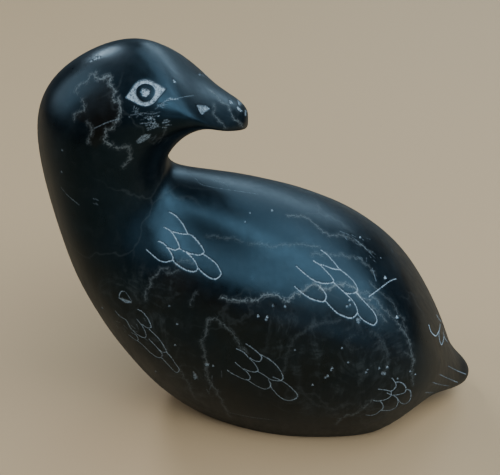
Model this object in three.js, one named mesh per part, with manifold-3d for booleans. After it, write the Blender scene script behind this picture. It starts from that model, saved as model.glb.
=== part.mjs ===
// Soapstone bird carving: a resting bird, carved from one stone, with its head turned back over its tail.
// Millimetres, +Z up. The origin is under the middle of the bird, on the flat that it rests on.
// The tail points to +X and the breast to -X, and the bird is the same on both sides of the XZ plane.
import * as THREE from "three";
import { mergeVertices } from "three/addons/utils/BufferGeometryUtils.js";
import Module from "manifold-3d";

const wasm = await Module();
wasm.setup();

// Overall size of the carving
const LENGTH = 169;
const WIDTH = 88;
const HEIGHT = 153;

// Facets of the body, from tail to bill and around it
const STEPS_ALONG = 66;
const STEPS_AROUND = 56;

// Eye, the same on both sides of the head: a ring drawn out to two corners, cut round an iris that keeps
// its polish, with a small round cut for the pupil. Its sizes go with the bird's height.
const EYE_RADIUS = 0.03 * HEIGHT;
const EYE_CORNER = 0.045 * HEIGHT;
const IRIS_RADIUS = 0.0215 * HEIGHT;
const PUPIL_RADIUS = 0.009 * HEIGHT;
const EYE_SINK = 0.0055 * HEIGHT;
const PUPIL_SINK = 0.003 * HEIGHT;
const EYE_STEPS = 12;
const EYE_PLACE = { along: 0.8, around: 0.295 };

// Stone
const STONE_COLOUR = 0x141a20;
const STONE_ROUGHNESS = 0.32;

// Stations of the free form, from the tail tip over the body and round the neck to the bill tip.
// Each is a slice across the bird from a point on its inner line (tail, back, throat, underside of the bill)
// to a point on its outer line (tail, belly, breast, nape, crown, ridge of the bill). The places are shares
// of the length, from the middle, and of the height, from the ground, and the widths are shares of the width.
// lean moves the fullest part towards the inner line, square fills the slice out and hollow pinches it beside
// the back. The belly's points lie below the ground, and the flat cuts it off there.
const STATIONS = [
  { inner: [0.500, 0.065], outer: [0.500, 0.065], width: 0.00, lean: 0, square: 0, hollow: 0 },
  { inner: [0.500, 0.080], outer: [0.495, 0.050], width: 0.12, lean: 0, square: 0, hollow: 0 },
  { inner: [0.472, 0.095], outer: [0.470, 0.045], width: 0.25, lean: 0, square: 0, hollow: 0 },
  { inner: [0.446, 0.148], outer: [0.420, 0.040], width: 0.38, lean: 0.02, square: 0, hollow: 0 },
  { inner: [0.416, 0.243], outer: [0.353, 0.035], width: 0.61, lean: 0.06, square: 0, hollow: 0 },
  { inner: [0.351, 0.380], outer: [0.254, -0.090], width: 0.93, lean: 0.08, square: 0.02, hollow: 0 },
  { inner: [0.240, 0.505], outer: [0.125, -0.115], width: 1.00, lean: 0.08, square: 0.02, hollow: 0.02 },
  { inner: [0.100, 0.587], outer: [0.000, -0.115], width: 1.00, lean: 0.06, square: 0.02, hollow: 0.06 },
  { inner: [-0.040, 0.635], outer: [-0.115, -0.065], width: 0.91, lean: 0.05, square: 0.02, hollow: 0.12 },
  { inner: [-0.150, 0.660], outer: [-0.243, 0.018], width: 0.81, lean: 0.02, square: 0.02, hollow: 0.18 },
  { inner: [-0.215, 0.675], outer: [-0.364, 0.208], width: 0.70, lean: -0.04, square: 0, hollow: 0.12 },
  { inner: [-0.225, 0.715], outer: [-0.448, 0.415], width: 0.60, lean: -0.1, square: 0, hollow: 0 },
  { inner: [-0.203, 0.755], outer: [-0.487, 0.635], width: 0.54, lean: -0.08, square: 0, hollow: 0 },
  { inner: [-0.175, 0.786], outer: [-0.511, 0.846], width: 0.54, lean: 0.06, square: 0, hollow: 0 },
  { inner: [-0.150, 0.807], outer: [-0.408, 0.972], width: 0.54, lean: 0.15, square: 0, hollow: 0 },
  { inner: [-0.120, 0.818], outer: [-0.248, 1.029], width: 0.50, lean: 0.18, square: 0, hollow: 0 },
  { inner: [-0.090, 0.806], outer: [-0.150, 0.903], width: 0.37, lean: 0.18, square: 0, hollow: 0 },
  { inner: [-0.055, 0.790], outer: [-0.055, 0.852], width: 0.20, lean: 0.1, square: 0, hollow: 0 },
  { inner: [-0.043, 0.794], outer: [-0.043, 0.823], width: 0.10, lean: 0, square: 0, hollow: 0 },
  { inner: [-0.046, 0.810], outer: [-0.046, 0.810], width: 0.00, lean: 0, square: 0, hollow: 0 },
];

// Where the hollow lies across a slice, as a share of the way from the inner to the outer line, and its reach
const HOLLOW_PLACE = 0.12;
const HOLLOW_REACH = 0.10;

const SPLINE_DEGREE = 3;

// How far on either side a point of the surface looks for the slope there, as a share of the way
const SLOPE_REACH = 0.01;

// One station as a row of numbers, so that every value of it is blended alike
function stationRow(station) {
  return [...station.inner, ...station.outer, station.width, station.lean, station.square, station.hollow];
}

// A smooth blend of the stations, share = 0 at the tail and 1 at the bill: a cubic B-spline by de Boor's rule
function blendStations(share) {
  const spans = STATIONS.length - SPLINE_DEGREE;
  const place = share * spans;
  const span = Math.min(Math.floor(place), spans - 1);
  const knot = (index) => Math.min(Math.max(index - SPLINE_DEGREE, 0), spans);
  const rows = [];
  for (let i = 0; i <= SPLINE_DEGREE; i++) {
    rows.push(stationRow(STATIONS[span + i]));
  }
  for (let level = 1; level <= SPLINE_DEGREE; level++) {
    for (let i = SPLINE_DEGREE; i >= level; i--) {
      const start = knot(span + i);
      const end = knot(span + i + SPLINE_DEGREE + 1 - level);
      const weight = (place - start) / (end - start);
      rows[i] = rows[i].map((value, column) => (1 - weight) * rows[i - 1][column] + weight * value);
    }
  }
  return rows[SPLINE_DEGREE];
}

// A point of the surface: along runs from tail to bill, around runs from the inner line and back to it
function surfacePoint(along, around) {
  const [innerX, innerZ, outerX, outerZ, width, lean, square, hollow] = blendStations(along);
  const angle = around * 2 * Math.PI;
  const across = (1 - Math.cos(angle)) / 2;
  const fullness = Math.sin(angle) + lean * Math.sin(2 * angle) + square * Math.sin(3 * angle);
  const pinch = 1 - hollow * Math.exp(-(((across - HOLLOW_PLACE) / HOLLOW_REACH) ** 2));
  const x = innerX + (outerX - innerX) * across;
  const z = innerZ + (outerZ - innerZ) * across;
  const y = (width / 2) * fullness * pinch;
  return new THREE.Vector3(x * LENGTH, y * WIDTH, z * HEIGHT);
}

// The closed free form: one point at the tail tip, rings of points, one point at the bill tip
function freeFormGeometry() {
  const points = [surfacePoint(0, 0)];
  for (let i = 1; i < STEPS_ALONG; i++) {
    for (let j = 0; j < STEPS_AROUND; j++) {
      points.push(surfacePoint(i / STEPS_ALONG, j / STEPS_AROUND));
    }
  }
  points.push(surfacePoint(1, 0));
  const index = (ring, step) => 1 + (ring - 1) * STEPS_AROUND + (step % STEPS_AROUND);
  const last = points.length - 1;
  const triangles = [];
  for (let j = 0; j < STEPS_AROUND; j++) {
    triangles.push(0, index(1, j + 1), index(1, j));
    for (let i = 1; i < STEPS_ALONG - 1; i++) {
      triangles.push(index(i, j), index(i, j + 1), index(i + 1, j + 1));
      triangles.push(index(i, j), index(i + 1, j + 1), index(i + 1, j));
    }
    triangles.push(last, index(STEPS_ALONG - 1, j), index(STEPS_ALONG - 1, j + 1));
  }
  const geometry = new THREE.BufferGeometry().setFromPoints(points);
  geometry.setIndex(triangles);
  return geometry;
}

// A closed geometry as a solid for joining and cutting
function toSolid(geometry) {
  const bare = geometry.clone();
  bare.deleteAttribute("normal");
  bare.deleteAttribute("uv");
  const merged = mergeVertices(bare);
  return new wasm.Manifold(
    new wasm.Mesh({
      numProp: 3,
      vertProperties: Float32Array.from(merged.attributes.position.array),
      triVerts: Uint32Array.from(merged.index.array),
    }),
  );
}

function toGeometry(solid) {
  const mesh = solid.getMesh();
  const geometry = new THREE.BufferGeometry();
  geometry.setAttribute("position", new THREE.BufferAttribute(mesh.vertProperties, mesh.numProp));
  geometry.setIndex(new THREE.BufferAttribute(mesh.triVerts, 1));
  geometry.computeVertexNormals();
  return geometry;
}

// Everything above the ground, with room to spare on the other sides
function aboveGround() {
  const box = new THREE.BoxGeometry(2 * LENGTH, 2 * WIDTH, 2 * HEIGHT);
  box.translate(0, 0, HEIGHT);
  return toSolid(box);
}

// A flat shape as a cutter that stands on the surface of the head and is sunk into it
function headCutter(shape, side, sink) {
  const { along, around } = EYE_PLACE;
  const turn = side < 0 ? 1 - around : around;
  const centre = surfacePoint(along, turn);
  const forward = surfacePoint(along + SLOPE_REACH, turn).sub(surfacePoint(along - SLOPE_REACH, turn));
  const sideways = surfacePoint(along, turn + SLOPE_REACH).sub(surfacePoint(along, turn - SLOPE_REACH));
  const outward = sideways.cross(forward).normalize();
  forward.normalize();
  const upward = outward.clone().cross(forward);
  const cutter = new THREE.ExtrudeGeometry(shape, {
    depth: EYE_CORNER,
    bevelEnabled: false,
    curveSegments: EYE_STEPS,
  });
  cutter.applyMatrix4(new THREE.Matrix4().makeBasis(forward, upward, outward));
  const foot = centre.addScaledVector(outward, -sink);
  cutter.translate(foot.x, foot.y, foot.z);
  return toSolid(cutter);
}

// The outline of the eye: a circle with a corner in front and one behind
function eyeShape() {
  const touch = Math.acos(EYE_RADIUS / EYE_CORNER);
  const shape = new THREE.Shape();
  shape.absarc(0, 0, EYE_RADIUS, touch, Math.PI - touch, false);
  shape.lineTo(-EYE_CORNER, 0);
  shape.absarc(0, 0, EYE_RADIUS, Math.PI + touch, 2 * Math.PI - touch, false);
  shape.lineTo(EYE_CORNER, 0);
  return shape;
}

function roundShape(radius) {
  return new THREE.Shape().absarc(0, 0, radius, 0, 2 * Math.PI, false);
}

// Both cuts of one eye. The iris is taken out of the first, through its full depth.
function eyeCuts(side) {
  const iris = headCutter(roundShape(IRIS_RADIUS), side, 2 * EYE_SINK);
  const ring = headCutter(eyeShape(), side, EYE_SINK).subtract(iris);
  const pupil = headCutter(roundShape(PUPIL_RADIUS), side, PUPIL_SINK);
  return [ring, pupil];
}

function stoneMaterial() {
  return new THREE.MeshStandardMaterial({ color: STONE_COLOUR, roughness: STONE_ROUGHNESS, metalness: 0 });
}

// The carving
function soapstoneBird() {
  let solid = toSolid(freeFormGeometry()).intersect(aboveGround());
  for (const cut of [...eyeCuts(-1), ...eyeCuts(1)]) {
    solid = solid.subtract(cut);
  }
  const bird = new THREE.Mesh(toGeometry(solid), stoneMaterial());
  bird.name = "soapstone_bird";
  return bird;
}

const carving = new THREE.Group();
carving.add(soapstoneBird());

export default carving;
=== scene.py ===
import math

import bpy
import numpy as np
from bpy.props import FloatProperty, FloatVectorProperty, IntProperty, PointerProperty
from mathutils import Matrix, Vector
from mathutils.bvhtree import BVHTree
from mathutils.kdtree import KDTree


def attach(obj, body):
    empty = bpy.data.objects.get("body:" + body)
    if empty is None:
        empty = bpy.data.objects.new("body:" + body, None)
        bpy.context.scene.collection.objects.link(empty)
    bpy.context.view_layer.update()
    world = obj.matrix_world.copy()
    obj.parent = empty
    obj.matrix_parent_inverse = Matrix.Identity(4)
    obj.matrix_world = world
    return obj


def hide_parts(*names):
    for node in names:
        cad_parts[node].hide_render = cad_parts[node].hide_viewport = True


bl_info = {
    "name": "Soapstone Bird Carving",
    "version": (1, 0, 0),
    "blender": (4, 5, 0),
    "location": "View3D > Sidebar > Carving",
    "description": "Carves a polished soapstone bird and sets its stage",
    "category": "Object",
}

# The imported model
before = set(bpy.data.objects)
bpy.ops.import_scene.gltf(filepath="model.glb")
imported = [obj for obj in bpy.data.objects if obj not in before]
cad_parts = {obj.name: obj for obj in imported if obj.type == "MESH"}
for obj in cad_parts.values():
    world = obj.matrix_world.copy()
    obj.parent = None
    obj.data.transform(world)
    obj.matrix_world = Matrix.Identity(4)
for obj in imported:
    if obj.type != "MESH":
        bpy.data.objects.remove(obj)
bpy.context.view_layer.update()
CAD_NODE = "soapstone_bird"
BODY = "root"

# A millimetre in metres, and the shortest length that a direction is worked out from
MM = 0.001
NO_LENGTH = 1e-12

# Stations of the free form, from the tail tip over the body and round the neck to the bill tip.
# Each has its inner x and z, outer x and z, width, lean, square and hollow. Places and widths are
# shares of the bird's length, height and width.
STATIONS = np.array([
    (0.500, 0.065, 0.500, 0.065, 0.00, 0.00, 0.00, 0.00),
    (0.500, 0.080, 0.495, 0.050, 0.12, 0.00, 0.00, 0.00),
    (0.472, 0.095, 0.470, 0.045, 0.25, 0.00, 0.00, 0.00),
    (0.446, 0.148, 0.420, 0.040, 0.38, 0.02, 0.00, 0.00),
    (0.416, 0.243, 0.353, 0.035, 0.61, 0.06, 0.00, 0.00),
    (0.351, 0.380, 0.254, -0.090, 0.93, 0.08, 0.02, 0.00),
    (0.240, 0.505, 0.125, -0.115, 1.00, 0.08, 0.02, 0.02),
    (0.100, 0.587, 0.000, -0.115, 1.00, 0.06, 0.02, 0.06),
    (-0.040, 0.635, -0.115, -0.065, 0.91, 0.05, 0.02, 0.12),
    (-0.150, 0.660, -0.243, 0.018, 0.81, 0.02, 0.02, 0.18),
    (-0.215, 0.675, -0.364, 0.208, 0.70, -0.04, 0.00, 0.12),
    (-0.225, 0.715, -0.448, 0.415, 0.60, -0.10, 0.00, 0.00),
    (-0.203, 0.755, -0.487, 0.635, 0.54, -0.08, 0.00, 0.00),
    (-0.175, 0.786, -0.511, 0.846, 0.54, 0.06, 0.00, 0.00),
    (-0.150, 0.807, -0.408, 0.972, 0.54, 0.15, 0.00, 0.00),
    (-0.120, 0.818, -0.248, 1.029, 0.50, 0.18, 0.00, 0.00),
    (-0.090, 0.806, -0.150, 0.903, 0.37, 0.18, 0.00, 0.00),
    (-0.055, 0.790, -0.055, 0.852, 0.20, 0.10, 0.00, 0.00),
    (-0.043, 0.794, -0.043, 0.823, 0.10, 0.00, 0.00, 0.00),
    (-0.046, 0.810, -0.046, 0.810, 0.00, 0.00, 0.00, 0.00),
])
SPLINE_DEGREE = 3

# Where the hollow lies across a slice and how far it reaches, as shares of the way from the inner
# to the outer line
HOLLOW_PLACE = 0.12
HOLLOW_REACH = 0.10

# How far on either side a point of the surface looks for the slope there, as a share of the way
SLOPE_REACH = 0.004

# Eye, the same on both sides of the head, in shares of the way along and around the form
EYE_ALONG = 0.8
EYE_AROUND = 0.295

# Sizes of the eye, as shares of the height
EYE_RADIUS = 0.03
EYE_CORNER = 0.045
IRIS_RADIUS = 0.0215
PUPIL_RADIUS = 0.009

# How uneven the hand-cut edges of the iris and the pupil are, as shares of their sizes, and how
# many waves run round each, with their start in radians
IRIS_WOBBLE = 0.03
IRIS_WAVES = ((3, 0.7),)
PUPIL_WOBBLE = 0.10
PUPIL_WAVES = ((3, 1.1), (7, 0.0))

# The photograph's frame in pixels, and the camera's sensor in millimetres
PICTURE_WIDTH = 500
PICTURE_HEIGHT = 475
SENSOR_WIDTH = 36.0

# Feathers: groups of scallops. Each scallop is a line drawn through points of the picture.
FEATHERS = [
    [
        [(169.5, 212), (176, 216), (182, 223), (186.5, 231), (187, 234), (180, 233.5),
         (172, 231.5)],
        [(164, 227), (171, 231.5), (176, 239), (179.5, 247), (178, 249), (174.5, 250),
         (167, 247.5)],
        [(158.5, 241), (164, 244), (168.5, 249), (172, 255), (173, 259), (170, 261), (165.5, 262),
         (159.5, 260.5), (153, 255.5), (146.5, 249.5)],
        [(188, 234), (193, 236.5), (199, 243), (203.5, 249.5), (203.5, 253), (199, 255), (192, 254),
         (186, 252), (179, 248)],
        [(187, 253), (192, 257.5), (196.5, 264), (197.5, 269), (194.5, 271.5), (189, 271),
         (182, 268), (177, 264.5), (173, 260.5)],
        [(203, 254), (210, 258.5), (216, 263.5), (220, 270), (221, 274), (218, 278), (213.5, 279),
         (207, 276), (201, 271), (197.5, 267)],
    ],
    [
        [(321, 250), (327, 254.5), (333, 261), (338.5, 268), (340, 269.5), (334, 269), (328, 267),
         (321, 264.5)],
        [(313.5, 261), (320, 265), (326, 271), (331.5, 277), (333.5, 281.5), (328, 283.5),
         (321, 283), (313, 280), (305, 274), (296.5, 266.5)],
        [(318, 285), (323, 290), (326, 295), (326, 298), (324.5, 301), (321, 301.5), (315, 300),
         (308, 297), (301, 292), (294.5, 286.5)],
        [(340, 269.5), (346, 274), (352, 279.5), (356.5, 286), (357.5, 290), (355.5, 292.5),
         (350, 293.5), (345, 292.5), (339, 287.5), (333, 282)],
        [(345, 293), (351, 298.5), (355.5, 305), (357.5, 312), (354, 317), (350, 318), (343, 316),
         (336, 312), (330, 306), (325, 300.5)],
        [(356, 292), (362, 299), (369, 306.5), (374.5, 313), (377, 320), (375.5, 323.5), (373, 325),
         (367, 322.5), (361, 318), (357.5, 313)],
    ],
    [
        [(138, 309.5), (142.5, 312), (147, 317.5), (150, 323), (151, 327), (148, 328), (145, 326.5),
         (141.5, 324)],
        [(136.5, 319), (141, 324), (144, 329), (146, 334), (146, 336.5), (143.5, 337.5), (140, 336),
         (135.5, 333), (130, 327), (126, 320), (120, 316.5), (115.5, 311)],
        [(131.5, 332.5), (136, 335), (138, 338.5), (137, 340.5), (133, 338), (129, 335)],
        [(149, 329), (156, 335.5), (161, 341.5), (165, 348), (166.5, 351.5), (163, 352),
         (159, 349.5), (155, 345), (149, 339)],
        [(159, 349.5), (162, 353.5), (162, 356), (160, 357.5), (156, 356.5), (150, 352), (144, 346),
         (137.5, 340.5)],
        [(166.5, 352), (171, 357), (175, 363), (179, 369), (178.5, 371.5), (176.5, 372.5),
         (173, 370), (168, 364.5), (161.5, 357.5)],
    ],
    [
        [(246, 344), (252, 348), (257, 352), (261, 356), (261.5, 359), (259, 361.5), (254, 360.5),
         (250, 358)],
        [(236.5, 349), (243, 352), (249, 358), (254, 363), (257.5, 368.5), (258, 371), (254, 372),
         (249, 371), (244.5, 369)],
        [(235, 362.5), (241, 367.5), (246.5, 371.5), (250, 376.5), (249, 379.5), (245, 379.5),
         (238, 376.5), (232, 373.5), (227.5, 370.5)],
        [(261, 355), (268, 358.5), (275, 364), (280, 370), (283, 377), (281, 380.5), (275, 380.5),
         (270, 379), (264, 375), (258, 371.5)],
        [(268.5, 379.5), (270.5, 384), (269.5, 387.5), (265, 389), (258, 386.5), (252, 383),
         (247, 379.5)],
        [(273, 377), (279, 379.5), (286, 383.5), (292, 388.5), (297, 394), (297, 397.5), (292, 400),
         (286, 400), (280, 397), (275, 392), (271, 387), (270.5, 383)],
    ],
    [
        [(392, 378), (395, 382), (396, 385.5), (394, 389), (391, 391), (386, 390), (378.5, 389)],
        [(395, 382), (400, 382), (404, 384.5), (406, 388.5), (405, 392), (400, 394), (393, 395),
         (387, 393)],
        [(406, 389), (410, 390.5), (411, 396), (409, 401.5), (404, 404), (400, 402),
         (397.5, 398.5)],
        [(391, 391), (391, 395), (389, 397.5), (384, 400), (378, 401), (373.5, 400.5)],
        [(394, 395.5), (397, 398), (398, 402), (396, 407), (391, 410), (385, 410.5), (381, 410)],
        [(380, 401), (382.5, 404), (383, 408), (380, 411), (376, 414), (371, 415.5), (366, 415)],
    ],
    [
        [(436, 314.5), (438.5, 318.5), (441, 321.5)],
        [(429, 325), (431.2, 331.5), (435.5, 335.8), (438, 333), (439.5, 329), (440, 324)],
        [(438.8, 331.2), (439.4, 339.7), (441.6, 344.5), (443.3, 341), (444, 336), (443, 331)],
        [(444, 336), (446, 339.7), (447.5, 342)],
    ],
]

# How strongly each group is scratched
FEATHER_STRENGTHS = [0.95, 1.0, 0.6, 0.68, 0.75, 1.0]

# How broad the lines of each group are, in line widths
FEATHER_WIDTHS = [1.0, 1.0, 1.0, 1.0, 1.1, 2.1]

# Straight strokes on the tail, with their strength and their width in line widths
TAIL_STRENGTH = 0.5
TAIL_WIDTH = 1.3
TAIL_STROKES = [
    [(448.5, 366), (457, 370.5), (466, 374)],
    [(440, 374.6), (449, 378.8), (458, 382.5)],
    [(433, 382.6), (441, 384.8), (449, 386)],
    [(425.5, 392.5), (430, 392.6), (434, 392.5)],
]

# Thin stray scratches, each with its strength. Their width is a share of a feather line's.
SCRATCH_WIDTH = 0.8
SCRATCHES = [
    ([(369, 296.6), (380, 288.5), (390, 281), (396, 279)], 0.9),
    ([(95, 128), (107, 122.5), (119, 119)], 0.4),
    ([(155.5, 109), (164, 102), (178, 98), (194, 95)], 0.18),
    ([(165, 101), (171, 99.8), (178, 99)], 0.6),
    ([(132, 115), (142, 113), (152, 114), (160, 112)], 0.25),
    ([(61, 188), (68, 196), (79, 205)], 0.3),
    ([(372, 268), (376, 281)], 0.35),
    ([(340, 231), (351, 236), (363, 246), (375, 258)], 0.2),
    ([(195, 178), (207, 186), (258, 194)], 0.12),
    ([(119, 298), (119.5, 294.5), (121.5, 291.5), (125, 291.5)], 0.6),
    ([(119, 298), (124, 300.5), (131, 301.8)], 0.9),
    ([(125, 291.5), (128.5, 296), (131.5, 301)], 0.3),
    ([(230, 413), (250, 417), (275, 420)], 0.25),
    ([(150, 372), (160, 388), (172, 402)], 0.15),
]

# Natural veins through points of the picture, each with its relative width, its strength and
# whether it also shows on the far side
VEINS = [
    ([(96, 73.5), (97, 79), (102, 80), (107, 76), (110, 78), (110, 85.5), (115, 91), (113, 95),
      (114, 102), (120, 98), (121, 105), (121, 113), (119, 120), (113, 127), (107.5, 131),
      (106, 136), (104, 141), (109, 144), (113, 147)], 1.2, 0.95, False),
    ([(113, 147), (126, 147), (131, 149), (130.5, 155), (128, 161), (125, 167)], 1.0, 0.75, False),
    ([(96, 73.5), (91, 77), (84.5, 84), (78, 89), (77, 95)], 0.8, 0.55, False),
    ([(81, 99), (85.5, 109), (79, 111), (75, 114), (75.5, 119)], 0.9, 0.7, False),
    ([(87, 124), (91, 130.5), (89, 136), (89, 143)], 0.8, 0.6, False),
    ([(155, 144), (162, 138), (166, 132), (164, 126)], 0.6, 0.35, False),
    ([(211, 89), (220, 101.5), (226, 105), (231, 113), (234, 119), (239.5, 122),
      (244, 127)], 0.6, 0.6, False),
    ([(211.5, 105), (217, 119), (222, 123), (225, 128)], 0.6, 0.45, False),
    ([(222, 298), (238, 300), (255, 300), (265, 295), (274, 295), (287, 300), (295, 295),
      (304, 289.5), (314, 285), (324, 288.5), (335, 287), (346, 284), (355.5, 289), (362, 297),
      (370, 300)], 0.9, 1.0, True),
    ([(360, 291), (372, 296), (383, 307), (390, 315), (399, 324), (404, 334), (411, 348),
      (413, 367)], 0.7, 0.5, True),
    ([(369, 284), (381, 292), (392, 303), (401, 316), (407, 330)], 0.5, 0.35, False),
    ([(355.5, 289), (366, 300), (378, 312), (386, 322)], 0.6, 0.45, False),
    ([(206, 236), (216, 236.5), (230, 239), (242, 241)], 0.5, 0.3, False),
    ([(249, 244), (270, 245), (290, 245), (319, 245.5)], 0.5, 0.35, False),
    ([(312, 254), (330, 254), (345, 256), (356, 257), (366, 264), (374, 273)], 0.6, 0.4, False),
    ([(287, 217), (298, 217), (309, 220), (320, 229), (328, 233), (340, 235), (351, 239),
      (362, 246), (373, 252)], 0.6, 0.5, True),
    ([(207, 322), (206, 330), (203, 338), (202, 346), (204, 354), (207, 362), (208, 376),
      (213, 388), (220, 399), (231, 418)], 1.2, 0.5, True),
    ([(207, 322), (211, 319), (217, 319), (221, 324), (226, 327), (234, 334), (240, 347),
      (245, 352)], 1.1, 0.55, False),
    ([(145, 298), (146, 291), (150, 286), (152, 279), (156, 276), (161, 271),
      (168, 268)], 0.9, 0.5, True),
    ([(167, 272), (172, 273), (178, 270)], 0.8, 0.4, False),
    ([(175, 266), (180, 262), (186, 261), (192, 263)], 0.9, 0.4, False),
    ([(179, 370), (186, 380), (190, 389), (196, 400)], 0.7, 0.4, False),
    ([(190, 305), (192, 298), (197, 293)], 0.9, 0.35, False),
    ([(336, 425), (345, 417), (356, 413), (366, 405), (372, 400)], 0.8, 0.5, True),
    ([(407, 352), (412, 360), (413, 372), (412, 384)], 0.8, 0.35, False),
    ([(284, 372), (288, 350), (300, 334), (318, 324), (340, 320)], 1.6, 0.16, False),
    ([(300, 388), (312, 402), (332, 410), (352, 404)], 1.6, 0.14, False),
    ([(372, 330), (384, 344), (388, 362), (382, 376)], 1.6, 0.16, True),
]

# Pale specks: x and y in the picture, size and strength, and the dots that each is drawn with
SPECK_DOTS = [(0, 0), (0.6, 0.2), (-0.3, 0.5), (0.1, -0.6)]
SPECKS = [
    (258, 316, 1.0, 1.0), (267, 317, 1.2, 1.0), (266, 319.5, 1.0, 0.9), (285, 306, 1.0, 0.8),
    (273, 305.5, 0.9, 0.6), (385, 277.5, 1.5, 1.0), (360, 237, 1.0, 0.6), (272, 210.5, 1.0, 0.6),
    (250, 213, 0.7, 0.4), (245, 222, 0.7, 0.4), (397, 317, 1.4, 1.0), (348, 362, 0.8, 0.7),
    (332, 368, 1.0, 0.9), (331, 370, 0.8, 0.7), (327.5, 376, 1.3, 0.8), (325, 377.5, 1.0, 0.7),
    (312.5, 385, 0.8, 0.8), (342, 348, 0.8, 0.7), (295, 350, 0.8, 0.5), (349.5, 300, 0.9, 0.9),
    (347, 306, 1.0, 0.9), (350, 304.5, 0.8, 0.8), (366, 372, 1.0, 0.8), (367.5, 369.5, 0.8, 0.6),
    (174.6, 81.7, 0.9, 1.0), (173.8, 80.4, 0.7, 0.8), (96, 58, 1.3, 0.8), (99, 57, 1.1, 0.8),
    (91, 60.6, 1.0, 0.7), (200, 74, 1.3, 1.0), (203, 75, 0.9, 0.7), (231, 102, 1.5, 1.0),
    (230, 100.5, 1.1, 0.8), (178, 157, 0.7, 0.5), (177, 324, 0.9, 0.5), (169, 306, 0.9, 0.5),
    (145, 372, 0.9, 0.7), (155.5, 371.5, 1.0, 0.9), (129, 357, 1.1, 0.6), (133, 358, 0.9, 0.6),
    (121, 344, 0.9, 0.5), (102, 308, 1.1, 0.7), (387, 367, 1.1, 0.8), (379, 368, 1.0, 0.5),
    (410, 371, 0.9, 0.5), (415, 374, 0.9, 0.6), (397.5, 378.5, 0.9, 0.8), (398, 187, 0.6, 0.4),
    (61, 172, 0.8, 0.5), (62, 150, 0.8, 0.5), (175, 345, 0.9, 0.6), (213, 366, 1.0, 0.6),
]

# Chips with an outline, each with its strength and whether the far side has one too
CHIPS = [
    ([(196.7, 104.5), (205.5, 105.5), (210, 108.2), (205.5, 111), (201.8, 114.5),
      (199, 110)], 0.5, True),
    ([(203.5, 106.3), (209.5, 108.2), (206.5, 110), (204.5, 109.5)], 0.9, True),
    ([(237, 99.5), (239.5, 98.8), (241.5, 103.5), (239.5, 105), (238, 103)], 0.9, False),
    ([(236.8, 106), (238.5, 106.5), (242, 110.5), (240.5, 111.5), (238, 109)], 0.9, False),
    ([(244.8, 109.5), (246.3, 110), (246.6, 115), (245.2, 115.5)], 0.8, False),
    ([(136.5, 141), (141, 136.5), (147, 134), (151, 134.5), (149, 138), (143, 142),
      (138, 143.5)], 0.5, False),
    ([(121, 297.5), (124, 299), (130, 301.2), (131, 302.6), (125, 302.4), (120, 299)], 0.5, False),
    ([(381, 372), (384, 371.5), (386, 373), (385, 375), (382, 375)], 0.5, False),
    ([(193.5, 371.5), (196, 374), (197, 378), (194.5, 380), (193, 376)], 0.5, False),
    ([(204.5, 365), (207, 362.5), (209.5, 364.5), (207, 366), (206, 365.5)], 0.6, False),
    ([(356, 318.5), (359, 317.5), (360.5, 320), (359, 323.5), (357, 322)], 0.35, False),
]

# Scuffs: centre in the picture, spread, number of strokes, length, slope in degrees and strength
SCUFFS = [
    ((151.5, 122), (2.8, 3.0), 16, 3.2, -35, 0.85),
    ((151, 123), (2.6, 2.6), 12, 2.2, 40, 0.8),
    ((156, 125.5), (4.5, 1.2), 12, 5.0, -8, 0.6),
    ((149, 127), (3.5, 1.2), 8, 4.0, -20, 0.6),
    ((163, 122), (2.6, 1.0), 6, 5.0, -15, 0.45),
    ((135, 115), (2.6, 2.6), 12, 4.5, -40, 0.35),
    ((161, 105), (3.5, 1.6), 9, 5.0, -25, 0.35),
    ((172, 99.5), (3.0, 0.6), 5, 6.0, -10, 0.5),
    ((144, 114), (7.0, 2.5), 10, 6.0, -10, 0.15),
    ((155, 140), (5.0, 3.0), 8, 8.0, -40, 0.15),
    ((100, 338), (6.0, 5.0), 8, 5.0, 60, 0.35),
    ((128, 325), (8.0, 7.0), 10, 6.0, 50, 0.3),
    ((92, 200), (3.0, 3.0), 6, 4.0, 40, 0.25),
    ((357, 236), (6.0, 5.0), 5, 4.0, 30, 0.35),
    ((395, 245), (5.0, 5.0), 5, 4.0, 50, 0.35),
    ((370, 262), (7.0, 6.0), 8, 5.0, 40, 0.3),
    ((205, 375), (8.0, 6.0), 8, 8.0, 80, 0.25),
]

# Brown-grey part of the stone below the long vein, partly its own colour and partly a painted
# reflection of a brown floor, the brown patch behind the eye, and the pale haze low on the flank
# and the breast, each with how soft its edge is, in pixels
BROWN_AND_REFLECTION_OUTLINE = [
    (60, 230), (90, 250), (125, 285), (146, 299), (152, 280), (170, 268), (186, 262), (205, 285),
    (238, 300), (265, 295), (287, 300), (314, 285), (346, 284), (370, 300), (390, 315), (404, 334),
    (413, 367), (430, 440), (200, 520), (0, 520), (0, 230),
]
BROWN_AND_REFLECTION_SOFT = 26.0
PATCH_OUTLINE = [
    (96, 73.5), (97, 79), (102, 80), (107, 76), (110, 78), (110, 85.5), (115, 91), (113, 95),
    (114, 102), (120, 98), (121, 105), (121, 113), (119, 120), (113, 127), (107.5, 131), (104, 141),
    (96, 150), (89, 143), (90, 130), (87, 124), (75.5, 119), (75, 114), (85.5, 109), (81, 99),
    (77, 92), (84.5, 84),
]
PATCH_SOFT = 3.0
HAZE_OUTLINES = [
    [(258, 310), (300, 312), (345, 318), (392, 310), (410, 350), (402, 400), (360, 418), (300, 414),
     (262, 396)],
    [(100, 285), (140, 268), (176, 276), (190, 330), (206, 372), (224, 416), (190, 404), (150, 372),
     (118, 330)],
]
HAZE_SOFT = 30.0

# Strength of the faint crackle of veins on the near and the far side, and the width between them
# over which it changes, in millimetres
FAINT_NEAR = 0.10
FAINT_FAR = 0.40
SIDE_REACH = 20.0

# Where the stone turns brown towards the tail, partly its own colour and partly a painted
# reflection of a brown floor, in millimetres from the middle
TAIL_BROWN_AND_REFLECTION_START = 48.0
TAIL_BROWN_AND_REFLECTION_REACH = 30.0

# Start of the random draws for the marks
MARK_SEED = 7

# Spacing of the points that marks are sampled at, in pixels
LINE_SPACING = 0.4
CHIP_SPACING = 0.7

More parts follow.
